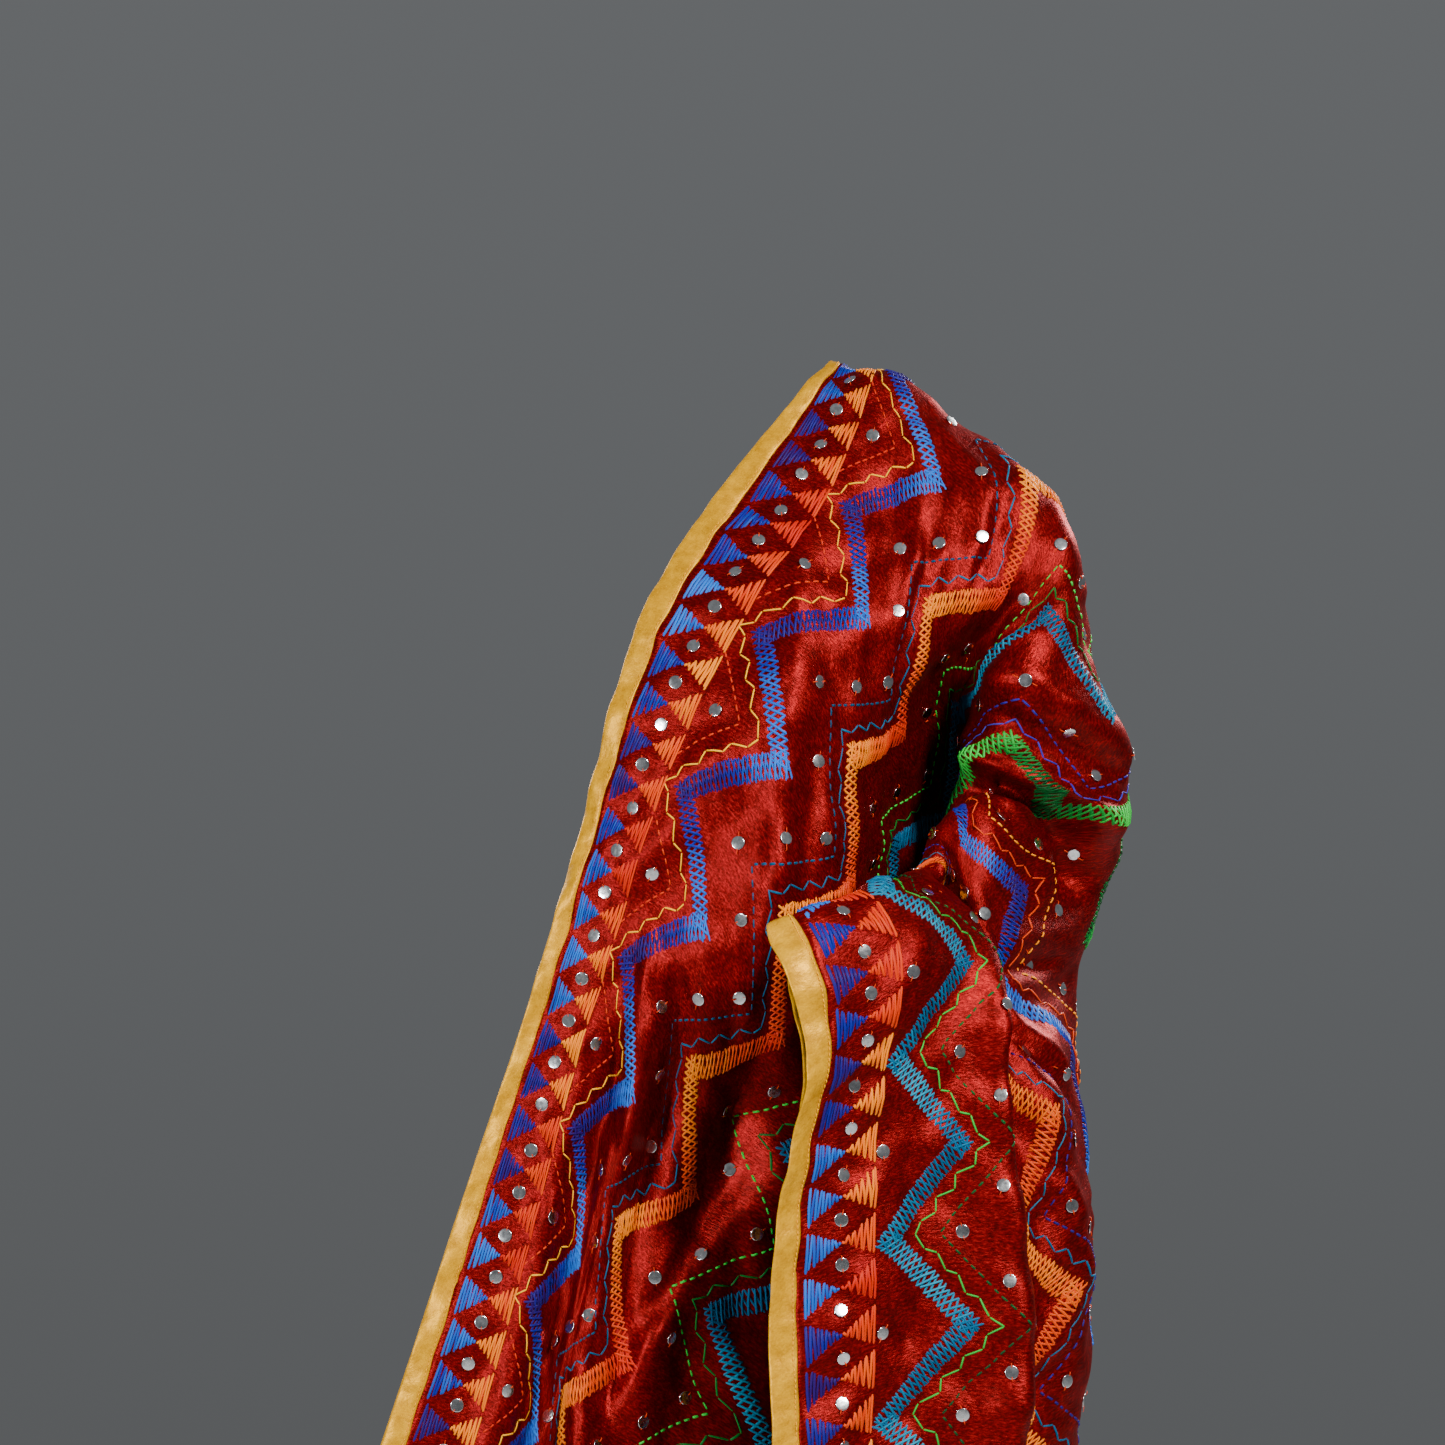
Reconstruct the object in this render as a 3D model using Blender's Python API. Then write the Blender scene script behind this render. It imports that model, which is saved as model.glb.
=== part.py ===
"""Embroidered dupatta, worn over one shoulder and the bent arm below it.

The cloth is one rectangle. It is modelled as a surface over its own flat sizes:
u runs across the width from the neck edge, v runs along the length from the crest
of the shoulder, with positive v down the chest. Each stretch of it is a thin wall.
Metres, +X to the viewer's right, +Y away from the viewer, +Z up. The origin is on
the crest of the shoulder that carries the cloth.
"""

from collections import namedtuple

import bpy
import numpy as np

# Flat sizes of the cloth
WIDTH = 0.900
FRONT_LENGTH = 0.970
BACK_LENGTH = 1.030
BINDING = 0.018
SEAM_GAP = 0.0003

# Embroidered zigzag sets, which are also the lines that the drape is drawn on
SET_FIRST = 0.120
SET_STEP = 0.1115

# Walls
CLOTH_WALL = 0.0016
BINDING_WALL = 0.0022

# Where the stretches meet, in u and v
ARM_FROM = 0.290
FOREARM_FROM = 0.530
INNER_FROM = 0.400
CREST_BACK = -0.120
CREST_FRONT = 0.120

# Longest cell of the walls, across the cloth, beside the crest and at the ends
CELL_ACROSS = 0.0225
CELL_AT_CREST = 0.022
CELL_AT_ENDS = 0.058
CREST_REACH = 0.300

# How far a fold takes to rise at its ends, and the step for reading normals
FOLD_FADE = 0.070
NORMAL_STEP = 0.004

# Points read along each guide line, and the rounding allowed between stations
PATH_POINTS = 600
ROUNDING = 1e-6

# Edges sharper than this are shaded sharp, in radians
SHARP_ANGLE = 1.0

# One row for each line along the cloth: how far across it lies, the v at which it
# crosses the crest of the arm, and the places that it passes, from the back end up
# over the crest and down to the front end.
Line = namedtuple("Line", "u crest_v tail seat loin blade over_back crest "
                          "collar chest waist hip thigh hem")

LINES = (
    Line(0.000, 0.000,
         (-0.360, 0.110, -1.120), (-0.295, 0.110, -0.680), (-0.225, 0.108, -0.390),
         (-0.155, 0.098, -0.190), (-0.095, 0.070, -0.030), (-0.062, 0.020, 0.025),
         (-0.145, -0.050, -0.075), (-0.205, -0.095, -0.180), (-0.255, -0.120, -0.365),
         (-0.300, -0.130, -0.505), (-0.370, -0.140, -0.715), (-0.475, -0.140, -1.020)),
    Line(SET_FIRST, 0.000,
         (-0.235, 0.115, -1.130), (-0.185, 0.115, -0.690), (-0.115, 0.112, -0.390),
         (-0.050, 0.096, -0.170), (0.000, 0.050, -0.025), (0.005, 0.000, 0.000),
         (-0.018, -0.060, -0.075), (-0.082, -0.120, -0.180), (-0.165, -0.145, -0.345),
         (-0.228, -0.130, -0.525), (-0.276, -0.135, -0.715), (-0.360, -0.140, -1.010)),
    Line(SET_FIRST + SET_STEP, -0.008,
         (-0.130, 0.105, -1.180), (-0.098, 0.105, -0.740), (-0.050, 0.105, -0.430),
         (0.020, 0.088, -0.225), (0.091, 0.027, -0.107), (0.102, -0.035, -0.084),
         (0.047, -0.071, -0.136), (-0.016, -0.082, -0.225), (-0.069, -0.132, -0.365),
         (-0.147, -0.128, -0.502), (-0.234, -0.132, -0.698), (-0.288, -0.141, -1.008)),
    Line(SET_FIRST + 2 * SET_STEP, -0.066,
         (-0.040, 0.080, -1.300), (-0.020, 0.082, -0.790), (0.015, 0.088, -0.450),
         (0.068, 0.080, -0.275), (0.123, 0.029, -0.219), (0.131, -0.033, -0.205),
         (0.083, -0.080, -0.184), (0.024, 0.028, -0.257), (-0.021, -0.035, -0.401),
         (-0.075, -0.076, -0.561), (-0.130, -0.105, -0.720), (-0.190, -0.125, -1.200)),
    Line(SET_FIRST + 3 * SET_STEP, -0.096,
         (0.050, 0.035, -1.450), (0.062, 0.038, -0.890), (0.086, 0.044, -0.545),
         (0.116, 0.036, -0.402), (0.143, 0.010, -0.338), (0.140, -0.024, -0.310),
         (0.096, -0.057, -0.283), (0.052, -0.063, -0.270), (0.031, -0.024, -0.272),
         (0.046, 0.022, -0.346), (0.002, 0.006, -0.650), (-0.095, -0.052, -1.320)),
    Line(SET_FIRST + 4 * SET_STEP, -0.030,
         (0.074, -0.040, -1.460), (0.078, -0.040, -0.880), (0.122, -0.048, -0.600),
         (0.100, -0.082, -0.456), (0.056, -0.106, -0.363), (0.030, -0.084, -0.297),
         (0.020, -0.069, -0.312), (0.006, -0.062, -0.384), (0.000, -0.064, -0.600),
         (-0.004, -0.066, -0.750), (-0.012, -0.068, -0.900), (-0.040, -0.074, -1.480)),
    Line(SET_FIRST + 5 * SET_STEP, -0.028,
         (0.048, -0.150, -1.460), (0.052, -0.150, -0.898), (0.090, -0.156, -0.640),
         (0.062, -0.151, -0.475), (0.024, -0.125, -0.363), (0.003, -0.105, -0.338),
         (-0.010, -0.091, -0.355), (-0.014, -0.096, -0.421), (-0.018, -0.105, -0.600),
         (-0.020, -0.112, -0.750), (-0.022, -0.116, -0.900), (-0.030, -0.120, -1.480)),
    Line(SET_FIRST + 6 * SET_STEP, -0.030,
         (-0.008, -0.205, -1.460), (-0.013, -0.205, -0.898), (0.001, -0.206, -0.636),
         (0.006, -0.205, -0.436), (0.007, -0.194, -0.374), (-0.031, -0.167, -0.350),
         (-0.044, -0.151, -0.368), (-0.047, -0.150, -0.430), (-0.048, -0.155, -0.600),
         (-0.050, -0.158, -0.750), (-0.052, -0.160, -0.900), (-0.055, -0.160, -1.480)),
    Line(WIDTH, -0.049,
         (-0.110, -0.245, -1.460), (-0.106, -0.245, -0.760), (-0.096, -0.250, -0.530),
         (-0.086, -0.263, -0.449), (-0.096, -0.261, -0.416), (-0.111, -0.240, -0.376),
         (-0.101, -0.215, -0.404), (-0.091, -0.205, -0.450), (-0.086, -0.200, -0.600),
         (-0.084, -0.198, -0.750), (-0.082, -0.196, -0.900), (-0.080, -0.195, -1.480)),
)

# One row for each large fold: its crest runs straight over the flat cloth from one
# place to the other. A negative height is a valley.
Fold = namedtuple("Fold", "name u_from v_from u_to v_to width height")

FOLDS = (
    Fold("neck edge turn", 0.085, 0.520, 0.090, 1.100, 0.022, 0.012),
    Fold("neck edge tuck", 0.122, 0.520, 0.128, 0.960, 0.026, -0.011),
    Fold("chest ridge", 0.060, 0.150, 0.215, 0.430, 0.035, 0.008),
    Fold("hip ridge", 0.120, 0.470, 0.250, 0.800, 0.026, 0.016),
    Fold("hip valley", 0.160, 0.470, 0.290, 0.800, 0.024, -0.016),
    Fold("hem ridge", 0.235, 0.720, 0.300, 1.100, 0.030, 0.016),
    Fold("cross fold", 0.330, 0.460, 0.255, 0.800, 0.028, 0.012),
    Fold("wrist shadow", 0.260, 0.440, 0.380, 1.100, 0.032, -0.020),
    Fold("arm tuck", 0.315, 0.120, 0.270, 0.030, 0.020, -0.012),
    Fold("arm bulge", 0.365, 0.065, 0.410, -0.140, 0.030, 0.014),
    Fold("elbow overhang", 0.470, 0.015, 0.450, -0.165, 0.022, 0.006),
    Fold("elbow tuck", 0.518, -0.020, 0.500, -0.175, 0.026, -0.010),
    Fold("pinch", 0.665, 0.005, 0.660, -0.215, 0.026, -0.028),
    Fold("panel ridge", 0.725, -0.075, 0.735, -1.200, 0.026, 0.018),
    Fold("panel valley", 0.680, -0.175, 0.690, -1.200, 0.024, -0.016),
    Fold("elbow drop", 0.640, -0.175, 0.600, -1.200, 0.030, 0.008),
    Fold("inner gather 1", 0.530, 0.060, 0.530, 1.000, 0.034, -0.006),
    Fold("inner gather 2", 0.600, 0.060, 0.600, 1.200, 0.030, 0.010),
    Fold("inner gather 3", 0.670, 0.060, 0.670, 1.200, 0.030, -0.010),
    Fold("inner gather 4", 0.740, 0.060, 0.740, 1.200, 0.030, 0.010),
    Fold("inner gather 5", 0.820, 0.060, 0.820, 1.200, 0.032, -0.009),
    Fold("back fold 1", 0.070, -0.160, 0.080, -1.200, 0.036, -0.012),
    Fold("back fold 2", 0.150, -0.120, 0.165, -1.200, 0.034, 0.015),
    Fold("back fold 3", 0.225, -0.180, 0.245, -1.200, 0.034, -0.010),
    Fold("back fold 4", 0.300, -0.220, 0.325, -1.200, 0.034, 0.011),
    Fold("back fold 5", 0.380, -0.310, 0.400, -1.200, 0.034, -0.012),
    Fold("back fold 6", 0.455, -0.300, 0.475, -1.200, 0.034, 0.014),
)

Finish = namedtuple("Finish", "name colour roughness")

SILK = Finish("maroon silk", (0.33, 0.018, 0.018, 1.0), 0.42)
YELLOW = Finish("yellow binding", (0.72, 0.42, 0.07, 1.0), 0.50)

# One row for each solid: the stretch of the flat cloth that it covers
Stretch = namedtuple("Stretch", "name u_from u_to v_from v_to wall finish")

INSIDE = WIDTH - BINDING
BACK_END = -BACK_LENGTH
BACK_HEM = BACK_END + BINDING
FRONT_HEM = FRONT_LENGTH - BINDING

STRETCHES = (
    Stretch("front_fall", BINDING, INNER_FROM, CREST_FRONT, FRONT_HEM, CLOTH_WALL, SILK),
    Stretch("inner_fall", INNER_FROM, INSIDE, CREST_FRONT, FRONT_HEM, CLOTH_WALL, SILK),
    Stretch("shoulder_stretch", BINDING, ARM_FROM, CREST_BACK, CREST_FRONT, CLOTH_WALL, SILK),
    Stretch("arm_stretch", ARM_FROM, FOREARM_FROM, CREST_BACK, CREST_FRONT, CLOTH_WALL, SILK),
    Stretch("forearm_stretch", FOREARM_FROM, INSIDE, CREST_BACK, CREST_FRONT, CLOTH_WALL, SILK),
    Stretch("back_fall", BINDING, FOREARM_FROM, BACK_HEM, CREST_BACK, CLOTH_WALL, SILK),
    Stretch("wrist_fall", FOREARM_FROM, INSIDE, BACK_HEM, CREST_BACK, CLOTH_WALL, SILK),
    Stretch("binding_neck_edge", 0.0, BINDING, BACK_END, FRONT_LENGTH, BINDING_WALL, YELLOW),
    Stretch("binding_wrist_edge", INSIDE, WIDTH, BACK_END, FRONT_LENGTH, BINDING_WALL, YELLOW),
    Stretch("binding_front_end", BINDING, INSIDE, FRONT_HEM, FRONT_LENGTH, BINDING_WALL, YELLOW),
    Stretch("binding_back_end", BINDING, INSIDE, BACK_END, BACK_HEM, BINDING_WALL, YELLOW),
)


def clear_scene():
    """Remove every object that the file opens with."""
    for thing in list(bpy.data.objects):
        bpy.data.objects.remove(thing, do_unlink=True)


def spline(knots, values, at):
    """Natural cubic spline through values at knots, read at the given places."""
    knots = np.asarray(knots, float)
    values = np.asarray(values, float)
    count = len(knots)
    step = np.diff(knots)
    matrix = np.eye(count)
    right = np.zeros_like(values)
    for i in range(1, count - 1):
        matrix[i, i - 1:i + 2] = step[i - 1], 2 * (step[i - 1] + step[i]), step[i]
        rise_after = (values[i + 1] - values[i]) / step[i]
        rise_before = (values[i] - values[i - 1]) / step[i - 1]
        right[i] = 6 * (rise_after - rise_before)
    bend = np.linalg.solve(matrix, right.reshape(count, -1)).reshape(values.shape)
    cell = np.clip(np.searchsorted(knots, at) - 1, 0, count - 2)
    shape = (-1,) + (1,) * (values.ndim - 1)
    width = step[cell].reshape(shape)
    b = (np.asarray(at) - knots[cell]).reshape(shape) / width
    a = 1 - b
    curve = ((a ** 3 - a) * bend[cell] + (b ** 3 - b) * bend[cell + 1]) * width ** 2 / 6
    return a * values[cell] + b * values[cell + 1] + curve


def run_along(path):
    """Distance along a path of points, from its first point."""
    legs = np.linalg.norm(np.diff(path, axis=0), axis=1)
    return np.concatenate([[0.0], np.cumsum(legs)])


def line_points(line, v_values):
    """Points of one line of the drape at the given v, measured along the line."""
    places = np.array(line[2:])
    crest = Line._fields.index("crest") - 2
    chord = run_along(places)
    fine = np.linspace(0, chord[-1], PATH_POINTS)
    path = spline(chord, places, fine)
    run = run_along(path)
    v_path = run - np.interp(chord[crest], fine, run) + line.crest_v
    return np.stack([np.interp(v_values, v_path, path[:, axis]) for axis in range(3)], axis=1)


def draped(u_values, v_values):
    """The cloth without its folds: an array of points, v along the first axis."""
    lines = np.stack([line_points(line, v_values) for line in LINES])
    across = spline([line.u for line in LINES], lines, u_values)
    return np.swapaxes(across, 0, 1)


def outward(surface, u_values, v_values):
    """Unit vectors out of the right side of a surface over the flat cloth."""
    along_u = (surface(u_values + NORMAL_STEP, v_values)
               - surface(u_values - NORMAL_STEP, v_values))
    along_v = (surface(u_values, v_values + NORMAL_STEP)
               - surface(u_values, v_values - NORMAL_STEP))
    normal = np.cross(along_v, along_u)
    return normal / np.linalg.norm(normal, axis=2, keepdims=True)


def smooth_step(x):
    """0 to 1 with level ends."""
    x = np.clip(x, 0, 1)
    return x * x * (3 - 2 * x)


def fold_height(u, v):
    """Height of all the folds together at each place of the flat cloth."""
    total = np.zeros(np.broadcast(u, v).shape)
    for fold in FOLDS:
        part = (v - fold.v_from) / (fold.v_to - fold.v_from)
        length = abs(fold.v_to - fold.v_from)
        middle = fold.u_from + (fold.u_to - fold.u_from) * part
        rise = smooth_step(part * length / FOLD_FADE)
        fall = smooth_step((1 - part) * length / FOLD_FADE)
        total += fold.height * rise * fall * np.exp(-((u - middle) / fold.width) ** 2)
    return total


def cloth(u_values, v_values):
    """The cloth's middle surface with its folds."""
    height = fold_height(u_values[None, :], v_values[:, None])
    normal = outward(draped, u_values, v_values)
    return draped(u_values, v_values) + normal * height[..., None]


def stations(marks, longest):
    """Places from mark to mark, no further apart than the cell that suits each."""
    places = [marks[0]]
    for start, end in zip(marks, marks[1:]):
        count = int(np.ceil((end - start) / longest((start + end) / 2) - ROUNDING))
        places.extend(np.linspace(start, end, count + 1)[1:])
    return np.array(places)


def cell_along(v):
    """Longest cell along the cloth at v."""
    return CELL_AT_CREST if abs(v) < CREST_REACH else CELL_AT_ENDS


def within(places, start, end):
    """The stations from start to end, drawn in by half a seam gap at inner seams."""
    chosen = places[(places > start - ROUNDING) & (places < end + ROUNDING)].copy()
    if start > places[0] + ROUNDING:
        chosen[0] += SEAM_GAP / 2
    if end < places[-1] - ROUNDING:
        chosen[-1] -= SEAM_GAP / 2
    return chosen


U_STATIONS = stations([0.0, BINDING, ARM_FROM, INNER_FROM, FOREARM_FROM, INSIDE, WIDTH],
                      lambda u: CELL_ACROSS)
V_STATIONS = stations([BACK_END, BACK_HEM, -CREST_REACH, CREST_BACK, CREST_FRONT,
                       CREST_REACH, FRONT_HEM, FRONT_LENGTH], cell_along)


def finish_material(finish):
    """A plain material of one finish, made once."""
    material = bpy.data.materials.get(finish.name)
    if material is None:
        material = bpy.data.materials.new(finish.name)
        material.use_nodes = True
        shader = material.node_tree.nodes["Principled BSDF"]
        shader.inputs["Base Color"].default_value = finish.colour
        shader.inputs["Roughness"].default_value = finish.roughness
        shader.inputs["Metallic"].default_value = 0.0
    return material


def wall_mesh(name, outer, inner):
    """A closed wall lofted between two grids of points, every face a triangle."""
    rows, columns = outer.shape[:2]
    under = rows * columns
    index = np.arange(under).reshape(rows, columns)
    faces = []
    for i in range(rows - 1):
        for j in range(columns - 1):
            a, b = index[i, j], index[i, j + 1]
            c, d = index[i + 1, j + 1], index[i + 1, j]
            faces += [(a, c, b), (a, d, c)]
            faces += [(a + under, b + under, c + under), (a + under, c + under, d + under)]
    rim = np.concatenate([index[0, :-1], index[:-1, -1], index[-1, :0:-1], index[:0:-1, 0]])
    for a, b in zip(rim, np.roll(rim, -1)):
        # The same diagonal on both sides of a seam, so that twisted rims stay parallel
        if a < b:
            faces += [(a, b, b + under), (a, b + under, a + under)]
        else:
            faces += [(a, b, a + under), (b, b + under, a + under)]
    mesh = bpy.data.meshes.new(name)
    points = np.concatenate([outer.reshape(-1, 3), inner.reshape(-1, 3)])
    mesh.from_pydata(points.tolist(), [], np.array(faces).tolist())
    mesh.shade_smooth()
    mesh.set_sharp_from_angle(angle=SHARP_ANGLE)
    return mesh


def build_stretch(stretch, collection):
    """One stretch of the cloth or of its binding, as a wall on both sides of the surface."""
    u_values = within(U_STATIONS, stretch.u_from, stretch.u_to)
    v_values = within(V_STATIONS, stretch.v_from, stretch.v_to)
    middle = cloth(u_values, v_values)
    half = outward(cloth, u_values, v_values) * stretch.wall / 2
    mesh = wall_mesh(stretch.name, middle + half, middle - half)
    mesh.materials.append(finish_material(stretch.finish))
    collection.objects.link(bpy.data.objects.new(stretch.name, mesh))


def main():
    clear_scene()
    collection = bpy.data.collections.new("embroidered dupatta")
    bpy.context.scene.collection.children.link(collection)
    for stretch in STRETCHES:
        build_stretch(stretch, collection)


main()
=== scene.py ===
"""Looks of the embroidered dupatta: satin cloth, bound edge, thread embroidery and mirrors.

Everything is laid out on the flat cloth first: u runs across it from the neck edge,
v runs along it from the crest of the shoulder, positive down the chest. The same
guide lines and folds as in the part's source carry it into place. Metres, +Z up.
"""

from collections import namedtuple

import bpy
import numpy as np
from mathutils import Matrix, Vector


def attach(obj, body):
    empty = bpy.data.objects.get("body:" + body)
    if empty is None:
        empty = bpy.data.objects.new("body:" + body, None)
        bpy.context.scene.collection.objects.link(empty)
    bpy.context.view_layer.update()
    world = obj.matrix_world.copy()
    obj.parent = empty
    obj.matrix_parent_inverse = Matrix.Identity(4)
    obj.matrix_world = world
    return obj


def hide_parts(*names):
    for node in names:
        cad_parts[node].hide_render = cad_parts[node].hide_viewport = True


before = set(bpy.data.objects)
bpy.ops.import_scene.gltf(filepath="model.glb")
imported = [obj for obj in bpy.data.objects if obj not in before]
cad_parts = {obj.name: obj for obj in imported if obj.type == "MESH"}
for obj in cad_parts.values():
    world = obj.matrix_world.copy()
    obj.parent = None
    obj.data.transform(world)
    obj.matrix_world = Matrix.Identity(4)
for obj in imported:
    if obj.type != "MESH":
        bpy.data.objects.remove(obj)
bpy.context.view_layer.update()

# Flat sizes of the cloth, as in the part's source
WIDTH = 0.900
FRONT_LENGTH = 0.970
BACK_LENGTH = 1.030
BINDING = 0.018
SET_FIRST = 0.120
SET_STEP = 0.1115
SET_COUNT = 7

# Reading the drape
PATH_POINTS = 600
FOLD_FADE = 0.070
CREASE_FADE = 0.030
GRID_STEP = 0.002

# Half the thickness of the panel and of the binding, and how far in the panel starts
CLOTH_HALF = 0.0005
BINDING_HALF = 0.0012
PANEL_INSET = BINDING * 0.9

# Cells of the panel, finer along the part that the photograph shows
CLOTH_CELL_U = 0.0055
CLOTH_CELL_V = 0.0056
CLOTH_CELL_FAR = 0.0095
CLOTH_FINE_FROM = -0.46
CLOTH_FINE_TO = 0.72

# Section of the binding, from its front seam round the edge to its back seam, as
# shares of its width and of its half thickness
BINDING_SECTION = ((1.00, 0.45), (0.95, 0.90), (0.70, 1.05), (0.35, 1.05), (0.10, 0.90),
                   (0.02, 0.55), (0.00, 0.00), (0.02, -0.55), (0.10, -0.90), (0.35, -1.05),
                   (0.70, -1.05), (0.95, -0.90), (1.00, -0.45))
BINDING_CELL = 0.0035

# The wobble of its seam, and its puckers, short ones that drift over broad ones
WOBBLE = 0.0005
WOBBLE_LENGTH = 0.041
PUCKER_SLANT = 0.35
PUCKER_SHARE = 0.16
PUCKER_LENGTH = 0.0135
PUCKER_DRIFT = 31
BROAD_SHARE = 0.12
BROAD_LENGTH = 0.0220
BROAD_START = 1.3

# Zigzag sets: tips, then the band and the two lines beside it
PERIOD = 0.125
OUTER_TIP_AT = 0.070
ZIGZAG_HALF = 0.029
BAND_HALF = 0.0086
BAND_OVERRUN = BAND_HALF * 0.7
STEPPED_LINE_SHIFT = -0.0212
STEPPED_TEETH = 8
STEPPED_SWING = 0.0027
STEPPED_LEAN = 0.0013
RUNNING_LINE_SHIFT = -0.0396
RUNNING_DASHES = 12
RUNNING_DASH = 0.0047
RUNNING_START = 0.12

# How far bands reach into the borders, lines keep off them, and both keep off the ends
BAND_OVER_BORDER = 0.004
LINE_CLEAR = 0.001
END_CLEAR = 0.004

# Where along two legs a band has its five tones
TONES_AT = (0.0, 0.45, 1.0, 1.5, 2.0)

# Strokes of a band on the legs that run to the inner tips and to the outer ones
Strokes = namedtuple("Strokes", "pitch lean")

INWARD_STROKES = Strokes(0.0040, 0.0050)
OUTWARD_STROKES = Strokes(0.0044, 0.0078)

# Border of triangles along both long edges
BORDER_FROM = 0.0232
BORDER_ROW = 0.0243
BORDER_PITCH = 0.03125
BORDER_END = BORDER_FROM + 2 * BORDER_ROW
FIRST_STROKE = 0.35
BASE_SHARE = 1.02
TIP_HALF = 0.0010

# Its two rows: strokes in a triangle, where its base lies and which way it points, the
# to and fro of its strokes, whether the first is straight, their width, and the start
# of its change of tone
Row = namedtuple("Row", "skein strokes base towards swing straight_base width shade_start")

ROWS = (
    Row("blue", 10, BORDER_FROM, 1, 0.0006, False, 0.0021, 2.4),
    Row("orange", 11, BORDER_END, -1, 0.0010, True, 0.0019, 0.9),
)

# Change of tone along the skeins of the border: share, length and start of each wave
SHADE_WAVES = ((0.42, 0.26, 1.0), (0.16, 0.26 * 0.37, 2.3))

# Threads: how wide each lies, and how far it is lifted
Thread = namedtuple("Thread", "width lift")

THREAD_WIDTH = 0.0016
THREAD_HEIGHT = 0.0008
RISING = Thread(THREAD_WIDTH, 0.0002)
FALLING = Thread(THREAD_WIDTH, 0.0008)
STEPPED = Thread(0.0012, 0.0003)
RUNNING = Thread(0.0014, 0.0002)
TIE = Thread(0.0007, 0.0013)
SEAM = Thread(0.0006, BINDING_HALF)
TRIANGLE_LIFT = 0.0002
TRIANGLE_CROSSING = 0.0003
# The falling strokes lie on top of the rising ones and get a painted highlight: their tone is
# raised a little
FALLING_PAINTED_HIGHLIGHT = 0.04
TIE_TONE = 0.25
SEAM_TONE = 0.8

# Machine stitching of the binding
SEAM_AT = BINDING * 0.88
SEAM_PITCH = 0.0036
SEAM_DASH = 0.0026
SEAM_START = 0.004
SEAM_STOP = 0.006

# Mirrors: their size, the rings of a disc as shares of it, and where they sit
MIRROR_RADIUS = 0.0048
MIRROR_THICK = 0.0006
MIRROR_LIFT = 0.0005
MIRROR_SIDES = 18
MIRROR_RINGS = ((0.25, 1.0), (0.88, 1.0), (0.97, 0.90), (1.0, 0.55), (1.0, 0.0))
MIRROR_CLEAR = 0.008
MIRROR_OFF_TIP = 0.062
MIRROR_PERIODS = 10
TIE_FROM = 0.0030
TIE_TO = (0.0058, 0.0072)

# How uneven the handwork is: the most that a place, length, turn or tone is off
BAND_OFF = 0.0005
BAND_REACH_OFF = (-0.0011, 0.0009)
SLANT_OFF = 0.0006
BAND_SHARE_OFF = 0.10
LEG_PHASE = 2.7
SET_PHASE = 40
BAND_TONE_OFF = 0.13
STEPPED_OFF = 0.0008
STEPPED_TONE_OFF = 0.08
DASH_OFF = 0.0006
RUNNING_OFF = 0.0003
RUNNING_TONE_OFF = 0.1
TRIANGLE_REACH_OFF = (-0.0008, 0.0005)
TRIANGLE_TONE_OFF = 0.10
STROKE_TONE_OFF = 0.16
MIRROR_OFF = 0.0012
MIRROR_TILT = 0.16
TIE_TURN = 0.7

# Camera, as in the photograph, and the floor
CAMERA_AT = (-0.1405, -3.5, -0.2391)
CAMERA_DISTANCE = 3.5
FRAME_WIDTH = 1.0549
SENSOR = 36.0
FLOOR_LEVEL = -1.44
FLOOR_RADIUS = 3.6
FLOOR_SIDES = 64

# Where the sewing sits a little off its even rows: the flat place, how far round it,
# and by how much
Slide = namedtuple("Slide", "name across along reach by_across by_along")

SLIDES = (
    Slide("forearm", 0.598, -0.175, 0.060, 0.020, 0.022),
    Slide("forearm rim", 0.712, -0.025, 0.050, -0.040, 0.000),
    Slide("arm tuck", 0.350, 0.130, 0.050, 0.030, 0.000),
)

# One row for each line along the cloth, from the back end up over the crest and
# down to the front end, as in the part's source
Line = namedtuple("Line", "u crest_v tail seat loin blade over_back crest "
                          "collar chest waist hip thigh hem")

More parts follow.
